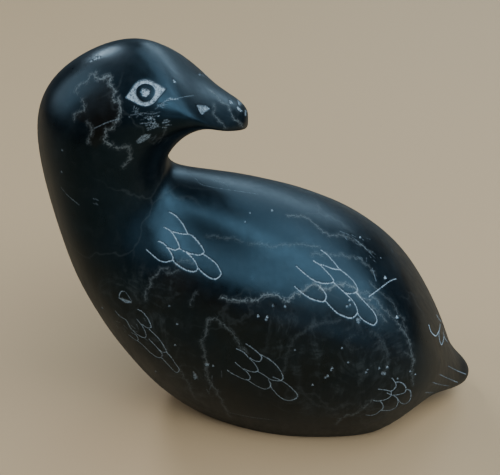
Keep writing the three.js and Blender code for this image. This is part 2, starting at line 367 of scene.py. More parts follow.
# A vein's waves, with their lengths in pixels and their shares, and how far they stray, in pixels
VEIN_WAVES = ((7.0, 0.55), (2.6, 0.5), (1.2, 0.3))
VEIN_STRAY = 1.3

# How far a scuff's strokes turn from its slope, in radians, and their shares of its length
STROKE_TURN = 0.28
STROKE_RUN = (0.4, 1.0)

# How much a vein's width varies, and after how many of its points
VEIN_BREADTH = (0.55, 1.3)
VEIN_KNOT = 12

# Half widths of marks and how soft their edges are, in millimetres on the stone
SPECK_REACH = 0.24
CHIP_REACH = 0.22
SCUFF_REACH = 0.12
LINE_SOFT = 0.20
EYE_SOFT = 0.32

# How far a vein's ramp reaches beside it, in millimetres, and the power that makes its crest
VEIN_RAMP = 1.1
VEIN_CREST = 3

# How far a point of the mesh may move onto a vein, in millimetres, and onto a line, in fine edges
VEIN_SNAP = 0.30
LINE_SNAP = 0.42

# Rounds of refining the mesh, how far its fine foot reaches up, in foot wears, and its limit
REFINE_ROUNDS = 9
FOOT_MARGIN = 1.5
MOST_TRIANGLES = 195000

# Swells of the polished surface: length in millimetres, direction and start in radians
SWELLS = [
    (34.0, 0.8, 0.3, 0.52, 0.4),
    (27.0, -0.2, 0.9, 0.39, 1.9),
    (41.0, 0.5, -0.4, 0.77, 3.1),
    (19.0, 0.6, 0.6, -0.53, 5.0),
]

# Soft lights: name, azimuth and elevation in degrees, distance, width, height, power and tint.
# They all face the middle of the bird.
LIGHTS = [
    ("sky_light", -42, 57, 1.4, 2.0, 0.9, 29.0, (0.82, 0.92, 1.0)),
    ("flank_light", -64, 51, 1.5, 0.9, 0.5, 8.0, (0.78, 0.91, 1.0)),
    ("neck_light", -27, 31, 1.5, 0.8, 0.5, 8.0, (0.78, 0.91, 1.0)),
    ("top_light", 45, 58, 1.5, 1.3, 0.9, 12.0, (0.66, 0.86, 1.0)),
    ("back_light", 68, 28, 1.5, 0.9, 0.5, 6.2, (0.62, 0.84, 1.0)),
    ("crown_light", 132, 46, 1.5, 0.35, 0.25, 12.0, (0.82, 0.92, 1.0)),
    ("left_light", 180, 33, 1.5, 0.9, 1.0, 10.0, (0.84, 0.93, 1.0)),
    ("low_light", -74, 11, 1.5, 1.3, 0.4, 2.6, (0.78, 0.91, 1.0)),
]
LIGHT_AIM = (0.0, 0.0, 0.07)

# The room's own light, the floor's finish and how near the camera sees, in metres
ROOM_COLOUR = (0.72, 0.86, 1.0)
ROOM_STRENGTH = 0.035
FLOOR_ROUGHNESS = 0.7
NEAR_LIMIT = 0.01

# Grain of the stone: scale, detail, roughness and distortion of each noise
GRAIN = {
    "clouds": (38.0, 6.0, 0.62, 0.9),
    "drift": (24.0, 5.0, 0.6, 1.4),
    "mottle": (210.0, 5.0, 0.65, 0.5),
    "brushed": (190.0, 6.0, 0.7, 1.0),
    "swirl": (48.0, 6.0, 0.62, 2.4),
    "warp": (45.0, 4.0, 0.6, 0.0),
    "gaps": (30.0, 2.0, 0.5, 0.0),
    "grit": (1900.0, 2.0, 0.7, 0.0),
    "ragged": (1500.0, 4.0, 0.65, 0.0),
    "hatch": (1300.0, 3.0, 0.7, 0.8),
    "streaks": (420.0, 4.0, 0.6, 0.0),
}

# How a noise or a mark is turned into a share of a finish: from low, from high, to low and to high
SHARES = {
    "slate": (0.38, 0.68, 0.0, 1.0),
    "brown drift": (0.34, 0.60, 0.35, 1.0),
    "mottle": (0.52, 0.74, 0.0, 0.16),
    "wisp lines": (0.0, 0.05, 0.5, 0.0),
    "wisp gaps": (0.40, 0.62, 0.0, 1.0),
    "wisp ground": (0.50, 0.75, 0.0, 0.35),
    "wisps in haze": (0.0, 1.0, 0.12, 1.0),
    "crackle lines": (0.004, 0.016, 1.0, 0.0),
    "crackle gaps": (0.54, 0.66, 0.0, 1.0),
    "vein fray": (0.30, 0.70, -0.26, 0.18),
    "vein core": (0.74, 0.98, 0.0, 1.0),
    "vein strands": (0.03, 0.09, 0.55, 0.0),
    "strands near vein": (0.05, 0.6, 0.0, 1.0),
    "vein halo": (0.35, 0.65, 0.06, 0.30),
    "vein grit": (0.32, 0.60, 0.55, 1.0),
    "flecks": (0.03, 0.09, 1.0, 0.0),
    "fleck chance": (0.975, 0.985, 0.0, 1.0),
    "line chalk": (0.30, 0.56, 0.45, 1.0),
    "eye hatching": (0.42, 0.52, 0.22, 0.85),
    "chip grit": (0.36, 0.56, 0.3, 1.0),
    "chip hatching": (0.40, 0.56, 0.35, 1.0),
    "cloud polish": (0.3, 0.7, 0.26, 0.38),
    "streak polish": (0.3, 0.7, -0.03, 0.05),
    "slant polish": (0.50, 0.95, 0.0, 0.25),
}

# Cells of the crackle, of the strands beside a vein and of the flecks, to the metre
CRACKLE_SCALE = 32.0
STRAND_SCALE = 420.0
FLECK_SCALE = 260.0

# How far noise bends the crackle and the strands, in metres
CRACKLE_BEND = 0.018
STRAND_BEND = 0.0016

# How much longer brush marks and polishing streaks are upright than across
BRUSH_STRETCH = (1.0, 1.0, 0.3)
STREAK_STRETCH = (1.0, 1.0, 0.12)

# Brightness of the brown patch against the brown clouds, and of mottle and wisps against a vein
PATCH_TONE = 1.1
MOTTLE_TONE = 0.18
WISP_TONE = 0.28

# How strongly the brown patch and the flecks show, and how steeply the halo of a vein falls off
PATCH_SHARE = 0.75
FLECK_SHARE = 0.7
HALO_FALL = 1.6

# Gloss: what a pale mark adds to the roughness, a vein's part of that, how strongly the stone
# mirrors and the tint of its shine
PALE_ROUGHNESS = 0.38
VEIN_ROUGHNESS = 0.5
STONE_IOR = 1.35
SHINE_TINT = (0.36, 0.72, 1.0)

# Fine relief of the polish: parts of the streaks, the mottle and the grit of pale marks, and the
# strength and height of it all, the height in millimetres
STREAK_RELIEF = 0.35
MOTTLE_RELIEF = 0.8
GRIT_RELIEF = 2.0
BUMP_STRENGTH = 0.5
BUMP_DISTANCE = 0.07


# Settings


def size_setting(name, description, default, **limits):
    """A length in metres that the user can change."""
    return FloatProperty(
        name=name,
        description=description,
        default=default,
        subtype="DISTANCE",
        unit="LENGTH",
        **limits,
    )


def colour_setting(name, description, default):
    """A colour that the user can change."""
    return FloatVectorProperty(
        name=name,
        description=description,
        default=default,
        size=3,
        subtype="COLOR",
        min=0.0,
        max=1.0,
    )


class CarvingForm(bpy.types.PropertyGroup):
    """Sizes of the stone and how finely it is worked"""

    length: size_setting("Length", "From the breast to the tail tip", 0.169, min=0.05)
    width: size_setting("Width", "Across the flanks", 0.088, min=0.02)
    height: size_setting("Height", "From the flat underside to the crown", 0.153, min=0.05)
    unevenness: size_setting(
        "Unevenness", "How far hand polishing leaves the surface from true", 0.16 * MM, min=0.0
    )
    foot_wear: size_setting(
        "Foot wear", "Height of the worn edge of the flat underside", 0.8 * MM, min=0.05 * MM
    )
    rings: IntProperty(
        name="Rings", description="Rings of the mesh from tail to bill", default=120, min=40
    )
    steps: IntProperty(
        name="Steps", description="Steps of the mesh around the form", default=100, min=32
    )
    wide_edge: size_setting(
        "Plain edge", "Longest edge of the mesh on plain stone", 2.9 * MM, min=0.3 * MM
    )
    fine_edge: size_setting(
        "Fine edge", "Longest edge of the mesh at a mark", 0.42 * MM, min=0.1 * MM
    )
    vein_edge: size_setting(
        "Vein edge", "Longest edge of the mesh at a vein", 0.85 * MM, min=0.1 * MM
    )
    foot_edge: size_setting(
        "Foot edge", "Longest edge of the mesh round the flat underside", 0.8 * MM, min=0.1 * MM
    )


class CarvingMarks(bpy.types.PropertyGroup):
    """Sizes of the scratched, chipped and natural marks"""

    line_width: size_setting("Line width", "Width of a scratched feather line", 0.20 * MM)
    line_depth: size_setting("Line depth", "Depth of a scratched feather line", 0.16 * MM)
    vein_width: size_setting("Vein width", "Width of a pale vein in the stone", 0.5 * MM)
    vein_rise: size_setting(
        "Vein rise", "How far a hard vein stands proud of the polish", 0.05 * MM
    )
    chip_depth: size_setting("Chip depth", "Depth of a chip or scuff", 0.22 * MM)
    eye_depth: size_setting("Eye depth", "Depth of the cut ring and pupil of the eye", 0.5 * MM)


class CarvingColours(bpy.types.PropertyGroup):
    """Colours of the stone and its marks"""

    deep: colour_setting("Deep stone", "Blue-black body of the stone", (0.0006, 0.0014, 0.0022))
    slate: colour_setting("Slate clouds", "Paler clouds in the stone", (0.0022, 0.0042, 0.0060))
    # Brown also paints a reflection of a brown floor low on the body and towards the tail
    brown: colour_setting("Brown clouds", "Brown-grey parts of the stone", (0.0042, 0.0028, 0.0015))
    scratched: colour_setting(
        "Scratched stone", "Pale powdery stone in a scratched line", (0.31, 0.385, 0.45)
    )
    vein: colour_setting("Vein", "Grey mineral vein", (0.092, 0.104, 0.108))


class CarvingStage(bpy.types.PropertyGroup):
    """Floor, lights and camera"""

    floor_size: size_setting("Floor size", "Width of the floor", 8.0)
    floor_colour: colour_setting("Floor colour", "Plain pale floor", (0.29, 0.195, 0.105))
    light_power: FloatProperty(
        name="Light power", description="Brightness of all lights together", default=1.0
    )
    camera_height: size_setting("Camera height", "Height of the camera over the floor", 0.273)
    camera_back: size_setting(
        "Camera distance", "Distance of the camera in front of the bird", 0.331
    )
    camera_side: size_setting("Camera shift", "Place of the camera along the bird", -0.007)
    camera_pitch: FloatProperty(
        name="Camera pitch",
        description="How far the camera looks down",
        default=math.radians(31),
        subtype="ANGLE",
        unit="ROTATION",
    )
    lens: FloatProperty(
        name="Lens",
        description="Focal length on a sensor 36 mm wide",
        default=72.0,
        subtype="DISTANCE_CAMERA",
        unit="CAMERA",
    )


# Free form


def blend_stations(share):
    """The stations blended at each share of the way: a clamped cubic B-spline by de Boor's rule."""
    spans = len(STATIONS) - SPLINE_DEGREE
    place = np.clip(share, 0, 1) * spans
    span = np.minimum(place.astype(int), spans - 1)

    def knot(index):
        return np.clip(index - SPLINE_DEGREE, 0, spans)

    rows = [STATIONS[span + i] for i in range(SPLINE_DEGREE + 1)]
    for level in range(1, SPLINE_DEGREE + 1):
        for i in range(SPLINE_DEGREE, level - 1, -1):
            start = knot(span + i)
            end = knot(span + i + SPLINE_DEGREE + 1 - level)
            weight = ((place - start) / (end - start))[:, None]
            rows[i] = (1 - weight) * rows[i - 1] + weight * rows[i]
    return rows[SPLINE_DEGREE]


def stone_points(form, along, around):
    """Points of the uncut stone, by their places from tail to bill and around the form."""
    rows = blend_stations(along)
    inner_x, inner_z, outer_x, outer_z, width, lean, square, hollow = rows.T
    angle = around * 2 * math.pi
    across = (1 - np.cos(angle)) / 2
    fullness = np.sin(angle) + lean * np.sin(2 * angle) + square * np.sin(3 * angle)
    pinch = 1 - hollow * np.exp(-(((across - HOLLOW_PLACE) / HOLLOW_REACH) ** 2))
    x = (inner_x + (outer_x - inner_x) * across) * form.length
    y = width / 2 * fullness * pinch * form.width
    z = (inner_z + (outer_z - inner_z) * across) * form.height
    return np.stack([x, y, z], axis=-1)


def unit(vectors):
    """Each vector at length one."""
    lengths = np.linalg.norm(vectors, axis=-1, keepdims=True)
    return vectors / np.maximum(lengths, NO_LENGTH)


def stone_axes(form, along, around):
    """Directions on the surface: forward to the bill, and outward."""
    ahead = stone_points(form, along + SLOPE_REACH, around)
    behind = stone_points(form, along - SLOPE_REACH, around)
    after = stone_points(form, along, around + SLOPE_REACH)
    before = stone_points(form, along, around - SLOPE_REACH)
    forward = ahead - behind
    return unit(forward), unit(np.cross(after - before, forward))


def stone_grid(rings, steps):
    """Places of the closed form's points, from tail over rings to bill, and its triangles."""
    ring, step = np.meshgrid(np.arange(1, rings), np.arange(steps), indexing="ij")
    along = np.concatenate([[0.0], ring.ravel() / rings, [1.0]])
    around = np.concatenate([[0.0], step.ravel() / steps, [0.0]])
    here = 1 + (ring - 1) * steps + step
    beside = np.roll(here, -1, axis=1)
    last = len(along) - 1
    triangles = np.concatenate([
        np.stack([here[:-1], beside[:-1], beside[1:]], axis=-1).reshape(-1, 3),
        np.stack([here[:-1], beside[1:], here[1:]], axis=-1).reshape(-1, 3),
        np.stack([np.zeros(steps, int), beside[0], here[0]], axis=-1),
        np.stack([np.full(steps, last), here[-1], beside[-1]], axis=-1),
    ])
    return along, around, triangles


class StoneMesh:
    """The free form as triangles, each corner with its place along and around the form."""

    def __init__(self, form):
        self.form = form
        self.along, self.around, self.triangles = stone_grid(form.rings, form.steps)
        self.points = stone_points(form, self.along, self.around)
        self.tips = (0, len(self.points) - 1)
        self.settled = 0

    def middle(self, first, second):
        """Place along and around halfway between two corners. A tip has no place around."""
        gap = (self.around[second] - self.around[first] + 0.5) % 1 - 0.5
        around = (self.around[first] + gap / 2) % 1
        for tip in self.tips:
            around = np.where(first == tip, self.around[second], around)
            around = np.where(second == tip, self.around[first], around)
        return (self.along[first] + self.along[second]) / 2, around

    def refine(self, wanted, rounds):
        """Splits edges that are longer than wanted, longest first, so that no gaps open."""
        for _ in range(rounds):
            if not self.split_once(wanted):
                return

    def split_once(self, wanted):
        """Splits each edge that is too long once, and says whether there was one."""
        corners = self.triangles
        sides = [corners[:, [0, 1]], corners[:, [1, 2]], corners[:, [2, 0]]]
        pairs = np.sort(np.concatenate(sides), axis=1)
        edges, ids = np.unique(pairs, axis=0, return_inverse=True)
        ids = ids.reshape(3, -1).T
        first, second = edges.T
        lengths = np.linalg.norm(self.points[first] - self.points[second], axis=1)
        # An edge between two older corners has been short enough before
        fresh = second >= self.settled
        self.settled = len(self.points)
        middles = (self.points[first] + self.points[second]) / 2
        cut = np.zeros(len(edges), bool)
        cut[fresh] = lengths[fresh] > wanted(middles[fresh], lengths[fresh])
        if not cut.any():
            return False
        longest = ids[np.arange(len(ids)), np.argmax(lengths[ids], axis=1)]
        while True:
            loose = cut[ids].any(axis=1) & ~cut[longest]
            if not loose.any():
                break
            cut[longest[loose]] = True
        new = np.full(len(edges), -1)
        new[cut] = len(self.points) + np.arange(cut.sum())
        along, around = self.middle(first[cut], second[cut])
        self.along = np.concatenate([self.along, along])
        self.around = np.concatenate([self.around, around])
        self.points = np.concatenate([self.points, stone_points(self.form, along, around)])
        self.triangles = cut_triangles(corners, ids, longest, new)
        return True


def cut_triangles(corners, ids, longest, new):
    """Triangles with their edges cut at the new points. An edge that stays whole has -1 there."""
    turn = np.argmax(ids == longest[:, None], axis=1)
    rows = np.arange(len(corners))[:, None]
    order = (turn[:, None] + np.arange(3)) % 3
    a, b, c = corners[rows, order].T
    ab, bc, ca = new[ids[rows, order]].T
    whole = ab < 0
    parts = [np.stack([a, b, c], axis=-1)[whole]]
    cut = ~whole
    near = cut & (ca < 0)
    parts.append(np.stack([a, ab, c], axis=-1)[near])
    near = cut & (ca >= 0)
    parts.append(np.stack([a, ab, ca], axis=-1)[near])
    parts.append(np.stack([ca, ab, c], axis=-1)[near])
    far = cut & (bc < 0)
    parts.append(np.stack([ab, b, c], axis=-1)[far])
    far = cut & (bc >= 0)
    parts.append(np.stack([ab, b, bc], axis=-1)[far])
    parts.append(np.stack([ab, bc, c], axis=-1)[far])
    return np.concatenate(parts)


# The picture's view, for marks that are placed by where the photograph shows them


class PictureView:
    """Places points of the picture on the stone, and points of the stone in the picture."""

    def __init__(self, stage, mesh):
        self.eye = np.array([stage.camera_side, -stage.camera_back, stage.camera_height])
        self.focus = stage.lens / SENSOR_WIDTH * PICTURE_WIDTH
        self.ahead = np.array([0, math.cos(stage.camera_pitch), -math.sin(stage.camera_pitch)])
        self.up = np.array([0, math.sin(stage.camera_pitch), math.cos(stage.camera_pitch)])
        self.right = np.array([1.0, 0, 0])
        self.surface = BVHTree.FromPolygons(mesh.points.tolist(), mesh.triangles.tolist())

    def on_stone(self, places):
        """Points of the stone under these pixels. A pixel beside the stone gives none."""
        found = []
        for x, y in places:
            across = (x - PICTURE_WIDTH / 2) / self.focus
            rise = (PICTURE_HEIGHT / 2 - y) / self.focus
            ray = self.ahead + across * self.right + rise * self.up
            hit = self.surface.ray_cast(Vector(self.eye), Vector(ray).normalized())[0]
            if hit is not None:
                found.append(hit[:])
        return np.array(found).reshape(-1, 3)

    def in_picture(self, points):
        """Pixels where points of the stone show, with the far side folded over to the near one."""
        near = points * [1, 0, 1] - np.abs(points) * [0, 1, 0]
        ray = near - self.eye
        depth = ray @ self.ahead
        x = PICTURE_WIDTH / 2 + self.focus * (ray @ self.right) / depth
        y = PICTURE_HEIGHT / 2 - self.focus * (ray @ self.up) / depth
        return np.stack([x, y], axis=-1)


def smooth_line(places, spacing):
    """A smooth line through the points, sampled at this spacing in pixels (Catmull-Rom)."""
    points = np.array(places, float)
    points = np.concatenate([[2 * points[0] - points[1]], points, [2 * points[-1] - points[-2]]])
    line = []
    for i in range(1, len(points) - 2):
        before, start, end, after = points[i - 1 : i + 3]
        count = max(int(math.dist(start, end) / spacing), 1)
        bend = 2 * before - 5 * start + 4 * end - after
        twist = 3 * start - before - 3 * end + after
        for t in np.arange(count) / count:
            line.append(0.5 * (2 * start + (end - before) * t + bend * t**2 + twist * t**3))
    line.append(points[-2])
    return np.array(line)


class Marks:
    """Points sampled along marks of one kind, each with its half width and strength."""

    def __init__(self):
        self.points = []
        self.reach = []
        self.strength = []

    def add(self, points, reach, strength=1.0, both=False):
        """Adds points of a mark, and with both also on the far side of the bird."""
        if not len(points):
            return
        sides = [points, points * [1, -1, 1]] if both else [points]
        for side in sides:
            self.points.append(side)
            self.reach.append(np.broadcast_to(reach, len(side)))
            self.strength.append(np.broadcast_to(strength, len(side)))

    def close(self):
        """Readies the marks for questions about the points of a mesh."""
        self.points = np.concatenate(self.points)
        self.reach = np.concatenate(self.reach)
        self.strength = np.concatenate(self.strength)
        self.tree = KDTree(len(self.points))
        for number, point in enumerate(self.points):
            self.tree.insert(point, number)
        self.tree.balance()

    def distance(self, points):
        """Distance of each point to the edge of the nearest mark."""
        found = [self.tree.find(point) for point in points.tolist()]
        nearest = np.array([number for _, number, _ in found])
        away = np.array([gap for _, _, gap in found])
        return away - self.reach[nearest], self.strength[nearest]

    def ramp(self, points, reach):
        """How near each point is to a mark, 1 on it and 0 this far beside it, and its strength."""
        away, strength = self.distance(points)
        return np.clip(1 - away / reach, 0, 1), strength

    def snapped(self, points, reach):
        """The points with those close to a mark moved onto it, one to each of its samples."""
        found = [self.tree.find(point) for point in points.tolist()]
        nearest = np.array([number for _, number, _ in found])
        away = np.array([gap for _, _, gap in found])
        order = np.argsort(away)
        order = order[away[order] < reach]
        samples, first = np.unique(nearest[order], return_index=True)
        points = points.copy()
        points[order[first]] = self.points[samples]
        return points

    def cover(self, points, soft):
        """How much of each point a mark covers, from 0 to 1, with an edge this soft."""
        away, strength = self.distance(points)
        return smooth_step(0.5 - away / soft) * strength


def smooth_step(share):
    """A share held between 0 and 1, with soft ends."""
    share = np.clip(share, 0, 1)
    return share * share * (3 - 2 * share)


def wavered(places, random, size):
    """A line of pixels with a natural crackle: each point strays sideways, in two sizes of wave."""
    line = smooth_line(places, LINE_SPACING)
    count = len(line)
    stray = np.zeros((count, 2))
    for wave, share in VEIN_WAVES:
        knots = random.normal(0, size * share, (max(int(count * LINE_SPACING / wave), 1) + 2, 2))
        place = np.arange(count) * LINE_SPACING / wave
        stray[:, 0] += np.interp(place, np.arange(len(knots)), knots[:, 0])
        stray[:, 1] += np.interp(place, np.arange(len(knots)), knots[:, 1])
    return line + stray


def cloud_of_strokes(centre, spread, count, length, slope, random):
    """Short strokes strewn about a pixel, most of them along one slope."""
    strokes = []
    for _ in range(count):
        start = random.normal(centre, spread)
        turn = slope + random.normal(0, STROKE_TURN)
        run = length * random.uniform(*STROKE_RUN)
        end = start + run * np.array([math.cos(turn), math.sin(turn)])
        strokes.append([tuple(start), tuple(end)])
    return strokes


def filled(outline, spacing):
    """Pixels on a square grid inside an outline."""
    outline = np.array(outline, float)
    low, high = outline.min(0), outline.max(0)
    x, y = np.meshgrid(np.arange(low[0], high[0], spacing), np.arange(low[1], high[1], spacing))
    places = np.stack([x.ravel(), y.ravel()], axis=-1)
    return places[outline_depth(places, outline) > 0]


def outline_depth(places, outline):
    """How deep inside an outline each pixel lies, in pixels, and below 0 outside it."""
    outline = np.array(outline, float)
    gap = np.full(len(places), np.inf)
    inside = np.zeros(len(places), bool)
    for a, b in zip(outline, np.roll(outline, -1, axis=0)):
        run = b - a
        share = np.clip((places - a) @ run / (run @ run), 0, 1)
        gap = np.minimum(gap, np.linalg.norm(places - a - share[:, None] * run, axis=1))
        crosses = (a[1] > places[:, 1]) != (b[1] > places[:, 1])
        if a[1] != b[1]:
            meets = a[0] + (places[:, 1] - a[1]) / (b[1] - a[1]) * run[0]
            inside ^= crosses & (places[:, 0] < meets)
    return np.where(inside, gap, -gap)


def draw_marks(view, sizes):
    """The lines, veins and chips of the stone, as marks on its surface."""
    random = np.random.default_rng(MARK_SEED)
    lines, veins, chips = Marks(), Marks(), Marks()
    half_line = sizes.line_width / 2
    for group, strength, width in zip(FEATHERS, FEATHER_STRENGTHS, FEATHER_WIDTHS):
        for scallop in group:
            places = smooth_line(scallop, LINE_SPACING)
            lines.add(view.on_stone(places), half_line * width, strength, both=True)
    for stroke in TAIL_STROKES:
        points = view.on_stone(smooth_line(stroke, LINE_SPACING))
        lines.add(points, half_line * TAIL_WIDTH, TAIL_STRENGTH, both=True)
    for scratch, strength in SCRATCHES:
        points = view.on_stone(smooth_line(scratch, LINE_SPACING))
        lines.add(points, half_line * SCRATCH_WIDTH, strength)
    for vein, width, strength, both in VEINS:
        points = view.on_stone(wavered(vein, random, VEIN_STRAY))
        knots = np.arange(0, len(points) + VEIN_KNOT, VEIN_KNOT)
        breadth = random.uniform(*VEIN_BREADTH, len(knots))
        breadth = np.interp(np.arange(len(points)), knots, breadth)
        veins.add(points, sizes.vein_width / 2 * width * breadth, strength, both)
    for x, y, size, strength in SPECKS:
        dots = [(x + across * size, y + down * size) for across, down in SPECK_DOTS]
        chips.add(view.on_stone(dots), size * SPECK_REACH * MM, strength)
    for outline, strength, both in CHIPS:
        chips.add(view.on_stone(filled(outline, CHIP_SPACING)), CHIP_REACH * MM, strength, both)
    for centre, spread, count, length, slope, strength in SCUFFS:
        for stroke in cloud_of_strokes(centre, spread, count, length, math.radians(slope), random):
            points = view.on_stone(smooth_line(stroke, LINE_SPACING))
            chips.add(points, SCUFF_REACH * MM, strength)
    for kind in (lines, veins, chips):
        kind.close()
    return lines, veins, chips


# Carving


def waves_round(turn, waves):
    """Waves round a hand-cut circle at these angles."""
    return sum(np.sin(count * turn + start) for count, start in waves)


class Eye:
    """One eye: a ring with a corner at each end, cut round a polished iris, and a cut pupil."""

    def __init__(self, form, side):
        turn = EYE_AROUND if side > 0 else 1 - EYE_AROUND
        along, around = np.array([EYE_ALONG]), np.array([turn])
        self.centre = stone_points(form, along, around)[0]
        forward, outward = stone_axes(form, along, around)
        self.forward, self.outward = forward[0], outward[0]
        self.upward = np.cross(self.outward, self.forward)
        self.radius = EYE_RADIUS * form.height
        self.corner = EYE_CORNER * form.height
        self.iris = IRIS_RADIUS * form.height
        self.pupil = PUPIL_RADIUS * form.height

    def gaps(self, points):
        """Distance of each point inside the cut ring and the cut pupil, below 0 outside them."""
        away = points - self.centre
        x, y = away @ self.forward, away @ self.upward
        near = np.abs(away @ self.outward) < self.corner
        turn = np.arctan2(y, x)
        reach = np.hypot(x, y)
        iris_edge = self.iris * (1 + IRIS_WOBBLE * waves_round(turn, IRIS_WAVES))
        pupil_edge = self.pupil * (1 + PUPIL_WOBBLE * waves_round(turn, PUPIL_WAVES))
        touch = math.acos(self.radius / self.corner)
        # Distance inside the two straight edges that run from the circle to a corner
        edge = (self.corner - np.abs(x)) * math.cos(touch) - np.abs(y) * math.sin(touch)
        beyond = np.abs(x) > self.radius * math.cos(touch)
        outer = np.where(beyond, np.maximum(edge, self.radius - reach), self.radius - reach)
        ring = np.minimum(outer, reach - iris_edge)
        pupil = pupil_edge - reach
        return np.where(near, ring, -1.0), np.where(near, pupil, -1.0)


def carve(form, sizes, stage):
    """The bird's points, triangles and marks."""
    mesh = StoneMesh(form)
    view = PictureView(stage, mesh)
    lines, veins, chips = draw_marks(view, sizes)
    eyes = [Eye(form, side) for side in (-1, 1)]
    kinds = ((lines, form.fine_edge), (veins, form.vein_edge), (chips, form.fine_edge))

    def wanted(points, lengths):
        """Longest edge wanted at each point: fine where a mark is near, plain elsewhere."""
        size = np.full(len(points), form.wide_edge)
        for kind, edge in kinds:
            gap, _ = kind.distance(points)
            size = np.where(gap < lengths / 2 + edge / 2, np.minimum(size, edge), size)
        for eye in eyes:
            for gap in eye.gaps(points):
                size = np.where(np.abs(gap) < lengths / 2 + form.fine_edge, form.fine_edge, size)
        foot = np.abs(points[:, 2]) < form.foot_wear * FOOT_MARGIN + lengths / 2
        return np.where(foot, np.minimum(size, form.foot_edge), size)

    mesh.refine(wanted, REFINE_ROUNDS)
    _, outward = stone_axes(form, mesh.along, mesh.around)
    moved = veins.snapped(mesh.points, VEIN_SNAP * MM)
    moved = lines.snapped(moved, form.fine_edge * LINE_SNAP)
    points = without_folds(mesh.points, moved, mesh.triangles, outward)
    scratched = lines.cover(points, LINE_SOFT * MM)
    vein_ramp, vein_tone = veins.ramp(points, VEIN_RAMP * MM)
    chipped = chips.cover(points, LINE_SOFT * MM)
    cut = np.zeros(len(points))
    for eye in eyes:
        for gap in eye.gaps(points):
            cut = np.maximum(cut, smooth_step(0.5 + gap / (EYE_SOFT * MM)))
    depth = sizes.line_depth * scratched + sizes.chip_depth * chipped + sizes.eye_depth * cut
    depth = depth - sizes.vein_rise * vein_ramp**VEIN_CREST * vein_tone
    depth = depth - form.unevenness * unevenness(points)
    tips = (mesh.along == 0) | (mesh.along == 1)
    depth[tips] = 0
    points = points - outward * depth[:, None]
    points[:, 2] = worn_foot(points[:, 2], form.foot_wear)
    marks = {
        "scratched": scratched,
        "eye_cut": cut,
        "vein_ramp": vein_ramp,
        "vein_tone": vein_tone,
        "chipped": chipped,
        **tints(points, view.in_picture(points)),
    }
    return points, mesh.triangles, marks


def within(places, outline, soft):
    """How far inside an outline each pixel lies, from 0 to 1, with an edge this soft."""
    return smooth_step(0.5 + outline_depth(places, outline) / soft)


def tints(points, places):
    """How strongly each point takes the brown below the vein and towards the tail (partly the
    stone's own, partly a painted reflection of a brown floor), the patch, haze and crackle.
    """
    near_side = smooth_step(0.5 - points[:, 1] / (SIDE_REACH * MM))
    hazes = [within(places, outline, HAZE_SOFT) for outline in HAZE_OUTLINES]
    return {
        # Brown below the long vein: partly the stone's own colour, partly a painted reflection of a
        # brown floor
        "dull": within(places, BROWN_AND_REFLECTION_OUTLINE, BROWN_AND_REFLECTION_SOFT),
        "patch": within(places, PATCH_OUTLINE, PATCH_SOFT) * near_side,
        "haze": np.max(hazes, axis=0),
        "far": FAINT_NEAR + (FAINT_FAR - FAINT_NEAR) * (1 - near_side),
        # Brown towards the tail: partly the stone's own colour, partly a painted reflection of a
        # brown floor
        "brown_and_reflection": smooth_step((points[:, 0] - TAIL_BROWN_AND_REFLECTION_START * MM) / (TAIL_BROWN_AND_REFLECTION_REACH * MM)),
    }


def without_folds(points, moved, triangles, outward):
    """The moved points, with those put back that would fold a triangle over."""
    while True:
        a, b, c = moved[triangles].transpose(1, 0, 2)
        facing = np.einsum("ij,ij->i", np.cross(b - a, c - a), outward[triangles[:, 0]])
        folded = np.unique(triangles[facing <= 0])
        folded = folded[(moved[folded] != points[folded]).any(axis=1)]
        if not len(folded):
            return moved
        moved[folded] = points[folded]


def unevenness(points):
    """Slow swells left by hand polishing, from about -1 to 1."""
    swell = np.zeros(len(points))
    for wave, x, y, z, start in SWELLS:
        swell += np.sin((points @ np.array([x, y, z])) * 2 * math.pi / (wave * MM) + start)
    return swell / len(SWELLS)


def worn_foot(height, wear):
    """Heights with nothing left below the ground, and the edge of the flat worn round."""
    worn = np.where(height < wear, (height + wear) ** 2 / (4 * wear), height)
    return np.where(height < -wear, 0.0, worn)


def mesh_object(name, points, triangles, marks):
    """A smooth mesh object with one number a point for each kind of mark."""
    mesh = bpy.data.meshes.new(name)
    mesh.vertices.add(len(points))
    mesh.vertices.foreach_set("co", points.astype(np.float32).ravel())
    mesh.loops.add(triangles.size)
    mesh.loops.foreach_set("vertex_index", triangles.astype(np.int32).ravel())
    mesh.polygons.add(len(triangles))
    mesh.polygons.foreach_set("loop_start", np.arange(0, triangles.size, 3, dtype=np.int32))
    mesh.polygons.foreach_set("use_smooth", np.ones(len(triangles), bool))
    for mark, values in marks.items():
        attribute = mesh.attributes.new(mark, "FLOAT", "POINT")
        attribute.data.foreach_set("value", values.astype(np.float32))
    mesh.update(calc_edges=True)
    mesh.validate()
    piece = bpy.data.objects.new(name, mesh)
    bpy.context.scene.collection.objects.link(piece)
    return piece


# Materials


